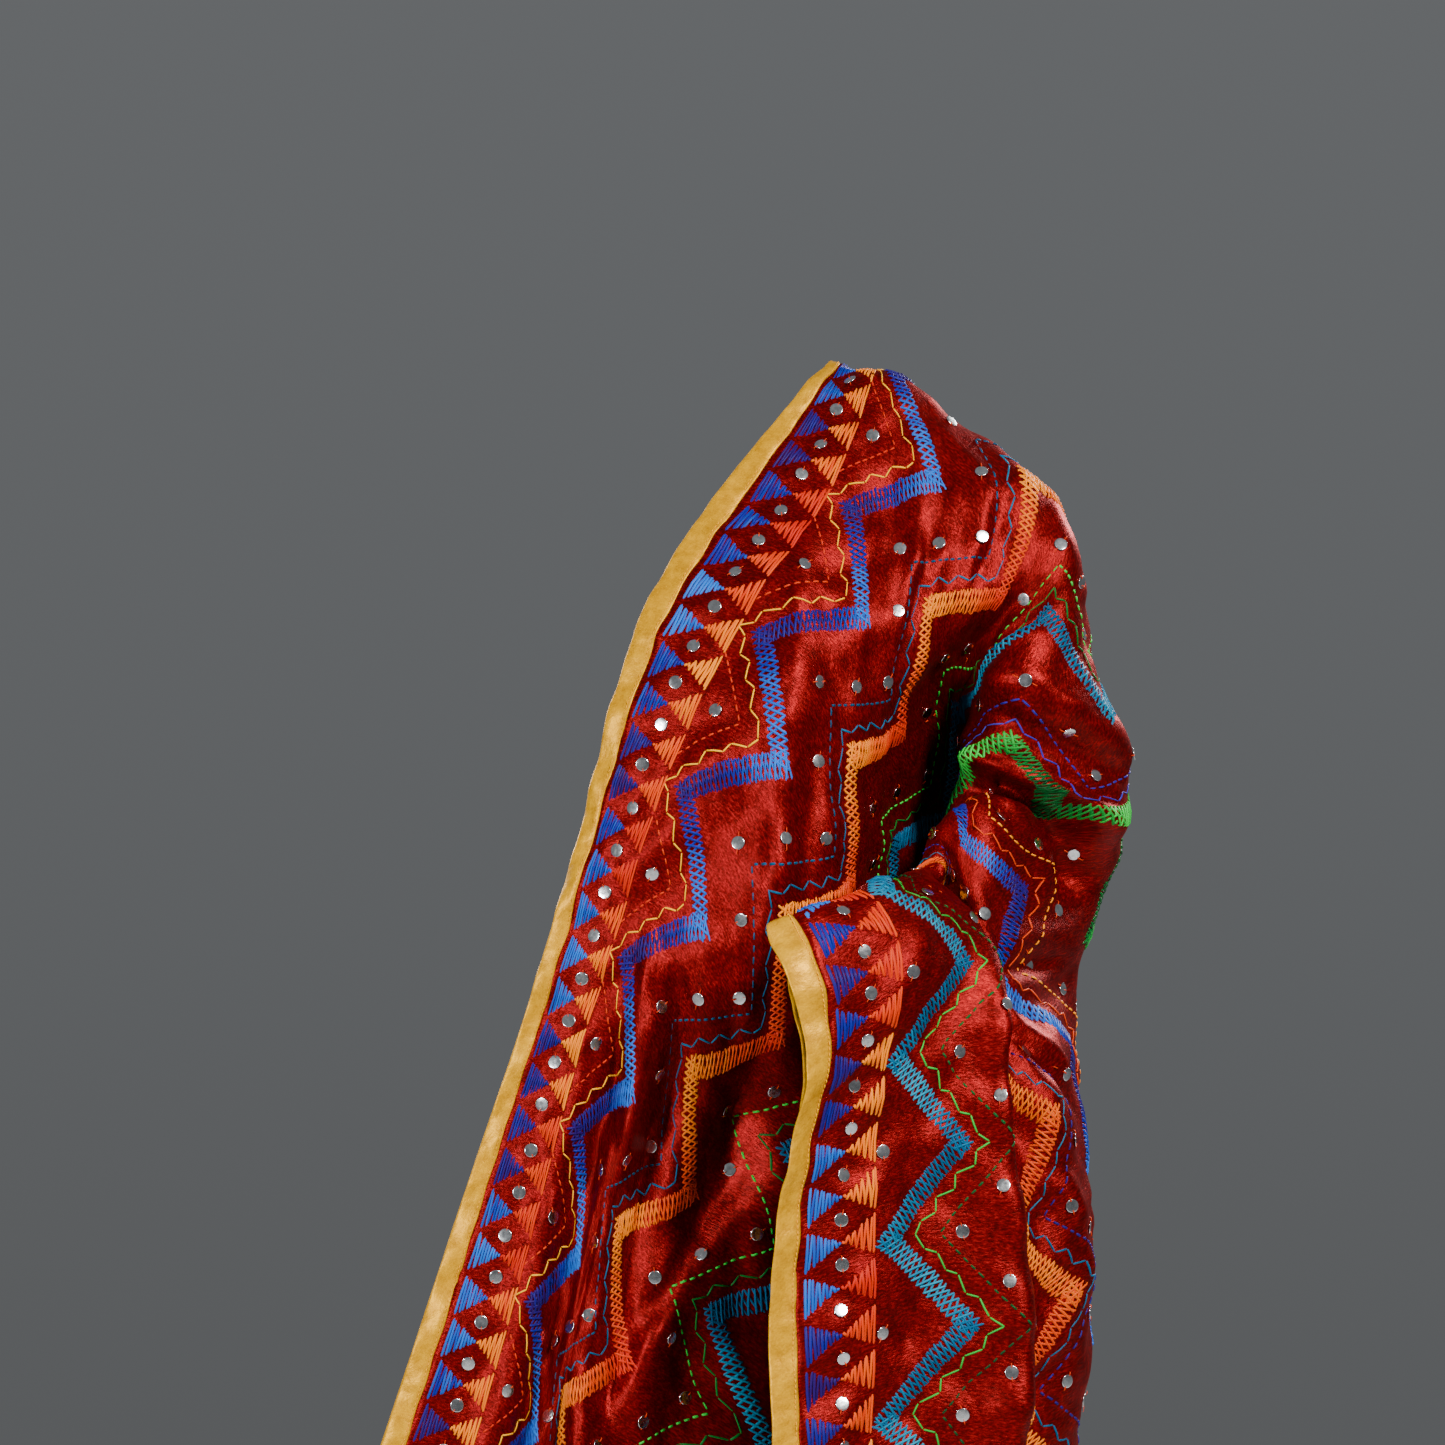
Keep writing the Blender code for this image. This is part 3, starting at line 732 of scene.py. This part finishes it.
def build_cloth(material):
    """The satin panel as one thin closed shell, its edges hidden in the binding."""
    u = spaced(PANEL_INSET, WIDTH - PANEL_INSET, CLOTH_CELL_U)
    back_end = -BACK_LENGTH + PANEL_INSET
    front_end = FRONT_LENGTH - PANEL_INSET
    v = np.concatenate([spaced(back_end, CLOTH_FINE_FROM, CLOTH_CELL_FAR)[:-1],
                        spaced(CLOTH_FINE_FROM, CLOTH_FINE_TO, CLOTH_CELL_V)[:-1],
                        spaced(CLOTH_FINE_TO, front_end, CLOTH_CELL_FAR)])
    uu, vv = np.meshgrid(u, v)
    outer = drape.place(uu, vv, CLOTH_HALF).reshape(-1, 3)
    inner = drape.place(uu, vv, -CLOTH_HALF).reshape(-1, 3)
    under = uu.size
    index = np.arange(under).reshape(uu.shape)
    quads = grid_quads(index, turned=True)
    rim = np.concatenate([index[0, :-1], index[:-1, -1], index[-1, :0:-1], index[:0:-1, 0]])
    after = np.roll(rim, -1)
    sides = np.stack([rim, after, after + under, rim + under], axis=1)
    faces = np.concatenate([quads, (quads + under)[:, ::-1], sides])
    flat = np.stack([uu.ravel(), vv.ravel()], axis=1)
    return make_object("silk_panel", np.concatenate([outer, inner]), faces, material,
                       uv=np.concatenate([flat, flat]))


def pucker(run, across):
    """Small slanting puckers of a sewn-on strip, as a share of its thickness."""
    slant = run + PUCKER_SLANT * across
    drift = 2 * np.sin(slant * PUCKER_DRIFT)
    return PUCKER_SHARE * np.sin(2 * np.pi * slant / PUCKER_LENGTH + drift) \
        + BROAD_SHARE * np.sin(2 * np.pi * slant / BROAD_LENGTH + BROAD_START)


def end_faces(ring):
    """Quads that close a folded strip's end, joining its front to its back."""
    half = len(ring) // 2
    front, back = ring[:half], ring[:half:-1]
    return np.stack([front[:-1], front[1:], back[1:], back[:-1]], axis=1)


def build_binding(name, along_v, edge, inward, material):
    """One strip folded over an edge of the panel.

    along_v says whether the strip runs along the cloth; edge is the flat place of
    the cloth's edge and inward is 1 or -1, towards the panel.
    """
    start, end = (-BACK_LENGTH, FRONT_LENGTH) if along_v else (BINDING, WIDTH - BINDING)
    depth, rise = np.array(BINDING_SECTION).T
    run = spaced(start, end, BINDING_CELL)
    rows, across = np.meshgrid(run, depth * BINDING, indexing="ij")
    wobble = WOBBLE * np.sin(rows * 2 * np.pi / WOBBLE_LENGTH) * (across / BINDING)
    side = edge + inward * np.clip(across + wobble, 0, None)
    lift = rise * BINDING_HALF * (1 + pucker(rows, across))
    u, v = (side, rows) if along_v else (rows, side)
    index = np.arange(rows.size).reshape(rows.shape)
    quads = grid_quads(closed(index))
    if (inward > 0) != along_v:
        quads = quads[:, ::-1]
    ends = np.concatenate([end_faces(index[0]), end_faces(index[-1])[:, ::-1]])
    flat = np.stack([u.ravel(), v.ravel()], axis=1)
    return make_object(name, drape.place(u, v, lift).reshape(-1, 3),
                       np.concatenate([quads, ends]), material, uv=flat)


# A table of stitches: each one's two ends on the flat cloth, its width, lift and tone
Stitches = namedtuple("Stitches", "start end width lift tone")
random = np.random.RandomState(7169)


def uneven(most, shape=None):
    """Random amounts up to the most, either way."""
    return random.uniform(-most, most, shape)


def to_and_fro(count):
    """1 and -1 in turn."""
    return np.where(np.arange(count) % 2 == 0, 1.0, -1.0)


def join(parts):
    """Several tables of stitches as one."""
    return Stitches(*[np.concatenate(column) for column in zip(*parts)])


def stitches(start, end, thread, tone):
    """Stitches of one thread between places of the flat cloth."""
    count = len(start)
    return Stitches(start, end, *[np.broadcast_to(value, count).astype(float)
                                  for value in (thread.width, thread.lift, tone)])


# Sections along a stitch: how far along, width share, and height share over the cloth
STITCH_SECTIONS = ((0.0, 0.55, -0.6), (0.10, 0.95, 0.55), (0.5, 1.0, 1.0), (0.90, 0.95, 0.55),
                   (1.0, 0.55, -0.6))
# Points round a stitch: side share and height share
STITCH_ROUND = ((-0.5, 0.0), (-0.30, 0.85), (0.30, 0.85), (0.5, 0.0))


def build_stitches(name, table, material):
    """All stitches of one skein as a joined mesh, bowed over the cloth's right side."""
    run = table.end - table.start
    length = np.linalg.norm(run, axis=1, keepdims=True)
    across = np.stack([-run[:, 1], run[:, 0]], axis=1) / np.maximum(length, 1e-6)
    rings = []
    for along, width_share, height_share in STITCH_SECTIONS:
        middle = table.start + run * along
        for sideways, rise in STITCH_ROUND:
            flat = middle + across * (sideways * width_share * table.width)[:, None]
            height = CLOTH_HALF + table.lift * (height_share > 0) \
                + THREAD_HEIGHT * (height_share - 1 + rise) * (table.width / THREAD_WIDTH)
            rings.append(drape.place(*slid(*flat.T), height))
    points = np.stack(rings, axis=1)
    quads = grid_quads(np.arange(len(rings)).reshape(len(STITCH_SECTIONS), -1))[:, ::-1]
    faces = repeated(quads, len(rings), len(points))
    tone = np.repeat(np.clip(table.tone, 0, 1), len(rings))
    return make_object(name, points.reshape(-1, 3), faces, material, tone=tone)


def shade_wave(v, start):
    """Tone of a thread that changes along its skein, from 0 to 1."""
    tone = 0.5
    for share, length, shift in SHADE_WAVES:
        tone = tone + share * np.sin(2 * np.pi * v / length + shift * start)
    return np.clip(tone, 0, 1)


def triangle_wave(v):
    """-1 at the inner tips of the zigzags and 1 at the outer ones."""
    phase = ((v - OUTER_TIP_AT) / PERIOD) % 1.0
    return 4 * np.abs(phase - 0.5) - 1


def inside(table, margin):
    """The stitches whose middle lies between the two borders and the two ends."""
    u, v = (table.start + table.end).T / 2
    keep = (u > BORDER_END + margin) & (u < WIDTH - BORDER_END - margin)
    keep &= (v > -BACK_LENGTH + BINDING + END_CLEAR) & (v < FRONT_LENGTH - BINDING - END_CLEAR)
    return Stitches(*[column[keep] for column in table])


Leg = namedtuple("Leg", "start length along across going_in number")


def legs(middle):
    """Every leg of a zigzag whose middle lies at that u."""
    first = int(np.floor((-BACK_LENGTH - OUTER_TIP_AT) / PERIOD)) - 1
    last = int(np.ceil((FRONT_LENGTH - OUTER_TIP_AT) / PERIOD)) + 1
    for number in range(first, last):
        outer = np.array([ZIGZAG_HALF, OUTER_TIP_AT + number * PERIOD])
        inner = np.array([-ZIGZAG_HALF, OUTER_TIP_AT + (number + 0.5) * PERIOD])
        after = np.array([ZIGZAG_HALF, OUTER_TIP_AT + (number + 1) * PERIOD])
        for start, end, going_in in ((outer, inner, True), (inner, after, False)):
            length = np.linalg.norm(end - start)
            along = (end - start) / length
            across = np.array([-along[1], along[0]])
            yield Leg(start + (middle, 0.0), length, along, across, going_in, number)


def band_tone(zigzag, s):
    """Tone of a band's thread at s, from 0 at an inner tip over 1 at the outer tip to 2."""
    stops = (zigzag.tip_in, zigzag.going_out, zigzag.tip_out, zigzag.going_in, zigzag.tip_in)
    return np.interp(s, TONES_AT, stops)


def band_stitches(zigzag, middle):
    """The wide band of one set: two slanting strokes in turn, crossing as a lattice."""
    parts = []
    for leg in legs(middle):
        pitch, lean = INWARD_STROKES if leg.going_in else OUTWARD_STROKES
        at = np.arange(-BAND_HALF + lean / 2, leg.length + BAND_OVERRUN - lean / 2, pitch)
        at = at + uneven(BAND_OFF, len(at))
        centre = leg.start + leg.along * at[:, None]
        wide = BAND_HALF + random.uniform(*BAND_REACH_OFF, (len(at), 4))
        low, high, next_low, next_high = leg.across * wide.T[..., None]
        slant = leg.along * (lean / 2) + leg.along * uneven(SLANT_OFF, (len(at), 1))
        half_step = leg.along * (pitch / 2)
        early = BAND_SHARE_OFF * np.sin(LEG_PHASE * leg.number + middle * SET_PHASE)
        share = np.clip(at / leg.length, 0, 1) + early
        tone = band_tone(zigzag, np.clip(share, 0, 1) + (1.0 if leg.going_in else 0.0))
        tone = tone + uneven(BAND_TONE_OFF, len(at))
        parts.append(stitches(centre - low - slant, centre + high + slant, RISING, tone))
        # The falling strokes, laid on top, are painted a little lighter: a painted highlight
        parts.append(stitches(centre - next_low + slant + half_step,
                              centre + next_high - slant + half_step,
                              FALLING, tone + FALLING_PAINTED_HIGHLIGHT))
    return inside(join(parts), -BAND_OVER_BORDER)


def stepped_line(middle, tone):
    """The thin line beside a band, jogging from side to side."""
    parts = []
    turn = to_and_fro(STEPPED_TEETH + 1)
    turn[0] = turn[-1] = 0.0
    for leg in legs(middle + STEPPED_LINE_SHIFT):
        at = np.linspace(0, leg.length, STEPPED_TEETH + 1) + turn * STEPPED_LEAN
        swing = turn * STEPPED_SWING
        points = leg.start + leg.along * at[:, None] + leg.across * swing[:, None]
        points = points + uneven(STEPPED_OFF, points.shape)
        parts.append(stitches(points[:-1], points[1:], STEPPED, tone + uneven(STEPPED_TONE_OFF)))
    return inside(join(parts), LINE_CLEAR)


def running_line(middle, tone):
    """The outermost line beside a band: plain running stitch."""
    parts = []
    count = RUNNING_DASHES
    for leg in legs(middle + RUNNING_LINE_SHIFT):
        at = (np.arange(count) + RUNNING_START) * leg.length / count
        dash = RUNNING_DASH + uneven(DASH_OFF, count)
        first = leg.start + leg.along * at[:, None] + uneven(RUNNING_OFF, (count, 2))
        last = leg.start + leg.along * (at + dash)[:, None]
        parts.append(stitches(first, last, RUNNING, tone + uneven(RUNNING_TONE_OFF)))
    return inside(join(parts), LINE_CLEAR)


def border_triangles(row):
    """Filled triangles of one row along one edge: close strokes, or an open to and fro."""
    parts = []
    first = int(np.ceil((-BACK_LENGTH + BINDING) / BORDER_PITCH))
    last = int(np.floor((FRONT_LENGTH - BINDING) / BORDER_PITCH))
    depth = (np.arange(row.strokes) + FIRST_STROKE) / row.strokes
    turn = to_and_fro(row.strokes)
    thread = Thread(row.width, TRIANGLE_LIFT + TRIANGLE_CROSSING * (turn > 0))
    u = row.base + row.towards * BORDER_ROW * depth
    reach = np.maximum(BORDER_PITCH / 2 * (BASE_SHARE - depth), TIP_HALF)
    for k in range(first, last):
        half = reach + random.uniform(*TRIANGLE_REACH_OFF, (2, row.strokes))
        slant = uneven(SLANT_OFF, row.strokes) + turn * row.swing
        if row.straight_base:
            slant[0] = 0.0
        middle = (k + 0.5) * BORDER_PITCH
        start = np.stack([u + slant, middle - half[0]], axis=1)
        end = np.stack([u - slant, middle + half[1]], axis=1)
        tone = shade_wave(k * BORDER_PITCH, row.shade_start)
        tone = tone + uneven(TRIANGLE_TONE_OFF) + uneven(STROKE_TONE_OFF, row.strokes)
        parts.append(stitches(start, end, thread, tone))
    return join(parts)


def mirrored(table):
    """The same stitches along the other long edge."""
    turn, shift = (-1.0, 1.0), (WIDTH, 0.0)
    return table._replace(start=table.start * turn + shift, end=table.end * turn + shift)


def mirror_places():
    """Where the round mirrors sit on the flat cloth: in the border, then between the bands."""
    places = []
    low = -BACK_LENGTH + BINDING + MIRROR_CLEAR
    high = FRONT_LENGTH - BINDING - MIRROR_CLEAR
    for k in range(int(low / BORDER_PITCH) - 1, int(high / BORDER_PITCH) + 2):
        for u in (BORDER_FROM + BORDER_ROW, WIDTH - BORDER_FROM - BORDER_ROW):
            places.append((u, k * BORDER_PITCH))
    last_middle = SET_FIRST + (SET_COUNT - 1) * SET_STEP
    for n in range(-MIRROR_PERIODS, MIRROR_PERIODS):
        tip = OUTER_TIP_AT + n * PERIOD
        places.append((SET_FIRST + ZIGZAG_HALF - MIRROR_OFF_TIP, tip))
        places.append((last_middle - ZIGZAG_HALF + MIRROR_OFF_TIP, tip + PERIOD / 2))
        for gap in range(SET_COUNT - 1):
            middle = SET_FIRST + (gap + 0.5) * SET_STEP
            for quarter in range(4):
                v = tip + quarter * PERIOD / 4
                places.append((middle + ZIGZAG_HALF * triangle_wave(v), v))
    places = np.array(places, float)
    return places[(places[:, 1] > low) & (places[:, 1] < high)]


def build_mirrors(material):
    """Every round mirror: a thin disc with a rolled rim, tilted a little on the cloth."""
    places = mirror_places()
    places = places + uneven(MIRROR_OFF, places.shape)
    count = len(places)
    u, v = slid(*places.T)
    centre = drape.place(u, v, CLOTH_HALF + MIRROR_LIFT)
    out = unit(drape.read(drape.out, u, v) + uneven(MIRROR_TILT, (count, 3)))
    side = unit(np.cross(out, (0.0, 0.0, 1.0)))
    up = np.cross(side, out)
    angle = np.linspace(0, 2 * np.pi, MIRROR_SIDES, endpoint=False)
    circle = np.cos(angle)[None, :, None] * side[:, None, :] \
        + np.sin(angle)[None, :, None] * up[:, None, :]
    rings = [centre[:, None, :] + circle * MIRROR_RADIUS * radius
             + out[:, None, :] * MIRROR_THICK * height for radius, height in MIRROR_RINGS]
    points = np.stack(rings, axis=1).reshape(count, -1, 3)
    index = np.arange(points.shape[1]).reshape(len(rings), MIRROR_SIDES)
    # The middle is closed with quads across the smallest ring, and so is the back
    across = np.array([(i, i + 1, MIRROR_SIDES - 2 - i, MIRROR_SIDES - 1 - i)
                       for i in range(MIRROR_SIDES // 2 - 1)])
    quads = np.concatenate([grid_quads(closed(index), turned=True), across,
                            (across + index[-1, 0])[:, ::-1]])
    faces = repeated(quads, points.shape[1], count)
    mirrors = make_object("round_mirrors", points.reshape(-1, 3), faces, material)
    return mirrors, np.stack([u, v], axis=1)


def tie_stitches(places):
    """Two short stitches over each mirror's rim, at its two holes, opposite each other."""
    count = len(places)
    angle = np.pi / 2 + uneven(TIE_TURN, count)
    away = np.stack([np.cos(angle), np.sin(angle)], axis=1)
    parts = []
    for side in (-1, 1):
        length = random.uniform(*TIE_TO, (count, 1))
        parts.append(stitches(places + away * side * TIE_FROM, places + away * side * length,
                              TIE, TIE_TONE))
    return join(parts)


def seam_stitches():
    """The machine stitching that holds the binding, along all four edges."""
    along = np.arange(-BACK_LENGTH + SEAM_START, FRONT_LENGTH - SEAM_STOP, SEAM_PITCH)
    across = np.arange(BINDING, WIDTH - BINDING, SEAM_PITCH)
    parts = []
    for u, v, dash in ((SEAM_AT, along, (0.0, SEAM_DASH)),
                       (WIDTH - SEAM_AT, along, (0.0, SEAM_DASH)),
                       (across, -BACK_LENGTH + SEAM_AT, (SEAM_DASH, 0.0)),
                       (across, FRONT_LENGTH - SEAM_AT, (SEAM_DASH, 0.0))):
        start = np.stack(np.broadcast_arrays(u, v), axis=1)
        parts.append(stitches(start, start + dash, SEAM, SEAM_TONE))
    return join(parts)


def build_embroidery():
    """The mirrors and all the thread, two pieces for each skein: front and back."""
    tables = {skein.name: [] for skein in SKEINS}
    for index, zigzag in enumerate(ZIGZAGS):
        middle = SET_FIRST + index * SET_STEP
        tables[zigzag.band].append(band_stitches(zigzag, middle))
        tables[zigzag.stepped].append(stepped_line(middle, zigzag.stepped_tone))
        tables[zigzag.running].append(running_line(middle, zigzag.running_tone))
    for row in ROWS:
        table = border_triangles(row)
        tables[row.skein] += [table, mirrored(table)]
    tables["gold"].append(seam_stitches())
    mirrors, places = build_mirrors(mirror_material())
    tables["orange"].append(tie_stitches(places))
    pieces = [mirrors]
    for skein in SKEINS:
        material = thread_material(skein)
        table = join(tables[skein.name])
        front = table.start[:, 1] > 0
        for end, keep in (("front", front), ("back", ~front)):
            part = Stitches(*[column[keep] for column in table])
            pieces.append(build_stitches("thread_" + skein.name + "_" + end, part, material))
    return pieces


def build_camera():
    """The photograph's view: level, straight on and from a distance."""
    data = bpy.data.cameras.new("camera")
    data.sensor_width = SENSOR
    data.lens = SENSOR * CAMERA_DISTANCE / FRAME_WIDTH
    camera = add_object("camera", data)
    camera.location = CAMERA_AT
    camera.rotation_euler = (np.pi / 2, 0.0, 0.0)
    bpy.context.scene.camera = camera


# Soft boxes: where each stands, its size, power and colour; all point at the cloth
Softbox = namedtuple("Softbox", "name at size power colour")

SOFTBOXES = (
    Softbox("key", (1.4, -2.4, 1.4), 0.50, 28.0, (1.0, 0.98, 0.95)),
    Softbox("left", (-1.9, -2.2, -0.1), 0.4, 12.0, (0.96, 0.98, 1.0)),
    Softbox("back right", (1.6, 2.2, 1.0), 0.8, 15.0, (1.0, 0.98, 0.95)),
    Softbox("back left", (-1.9, 1.9, 0.6), 0.8, 12.0, (0.95, 0.97, 1.0)),
)
SPREAD = 1.4
AIM = (-0.05, 0.0, -0.58)

# Glow of the studio, from straight below over the horizon to straight above
SKY = ((0.0, (0.02, 0.02, 0.02)), (0.5, (0.12, 0.125, 0.13)), (1.0, (0.20, 0.21, 0.22)))


def build_lights():
    """Soft studio light from both sides, stronger on the viewer's right."""
    for box in SOFTBOXES:
        data = bpy.data.lights.new(box.name, "AREA")
        data.shape = "SQUARE"
        data.size = box.size
        data.energy = box.power
        data.spread = SPREAD
        data.color = box.colour
        lamp = add_object(box.name, data)
        lamp.location = box.at
        lamp.rotation_euler = (Vector(AIM) - Vector(box.at)).to_track_quat("-Z", "Y").to_euler()


def build_sky():
    """A dim even studio round the object, lighter towards the top."""
    nodes = Nodes(bpy.data.worlds.new("studio"))
    towards = nodes.add("ShaderNodeTexCoord").outputs["Generated"]
    height = nodes.add("ShaderNodeSeparateXYZ", Vector=towards).outputs["Z"]
    share = nodes.add("ShaderNodeMapRange", Value=height, From_Min=-1.0).outputs["Result"]
    bpy.context.scene.world = nodes.finish(Color=nodes.ramp(share, SKY))


def build_floor(material):
    """A plain round of pale floor under the cloth."""
    angle = np.linspace(0, 2 * np.pi, FLOOR_SIDES, endpoint=False)
    rim = np.stack([FLOOR_RADIUS * np.cos(angle), FLOOR_RADIUS * np.sin(angle),
                    np.full(FLOOR_SIDES, FLOOR_LEVEL)], axis=1)
    points = np.concatenate([[[0.0, 0.0, FLOOR_LEVEL]], rim])
    step = np.arange(FLOOR_SIDES)
    faces = np.stack([np.zeros_like(step), step + 1, (step + 1) % FLOOR_SIDES + 1], axis=1)
    floor = make_object("floor", points, faces, material)


def main():
    """The studio first, then the cloth and everything that is sewn on it."""
    build_camera()
    build_lights()
    build_sky()
    build_floor(stage_material())
    cloth = build_cloth(satin_material())
    yellow = binding_material()
    edges = (
        build_binding("edge_neck", True, 0.0, 1, yellow),
        build_binding("edge_wrist", True, WIDTH, -1, yellow),
        build_binding("edge_front_end", False, FRONT_LENGTH, -1, yellow),
        build_binding("edge_back_end", False, -BACK_LENGTH, 1, yellow),
    )
    sewn = build_embroidery()
    for piece in (cloth, *edges, *sewn):
        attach(piece, "root")
    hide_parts("front_fall", "inner_fall", "shoulder_stretch", "arm_stretch",
                "forearm_stretch", "back_fall", "wrist_fall")
    for piece, node in zip(edges, ("binding_neck_edge", "binding_wrist_edge",
                                   "binding_front_end", "binding_back_end")):
        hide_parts(node)


main()
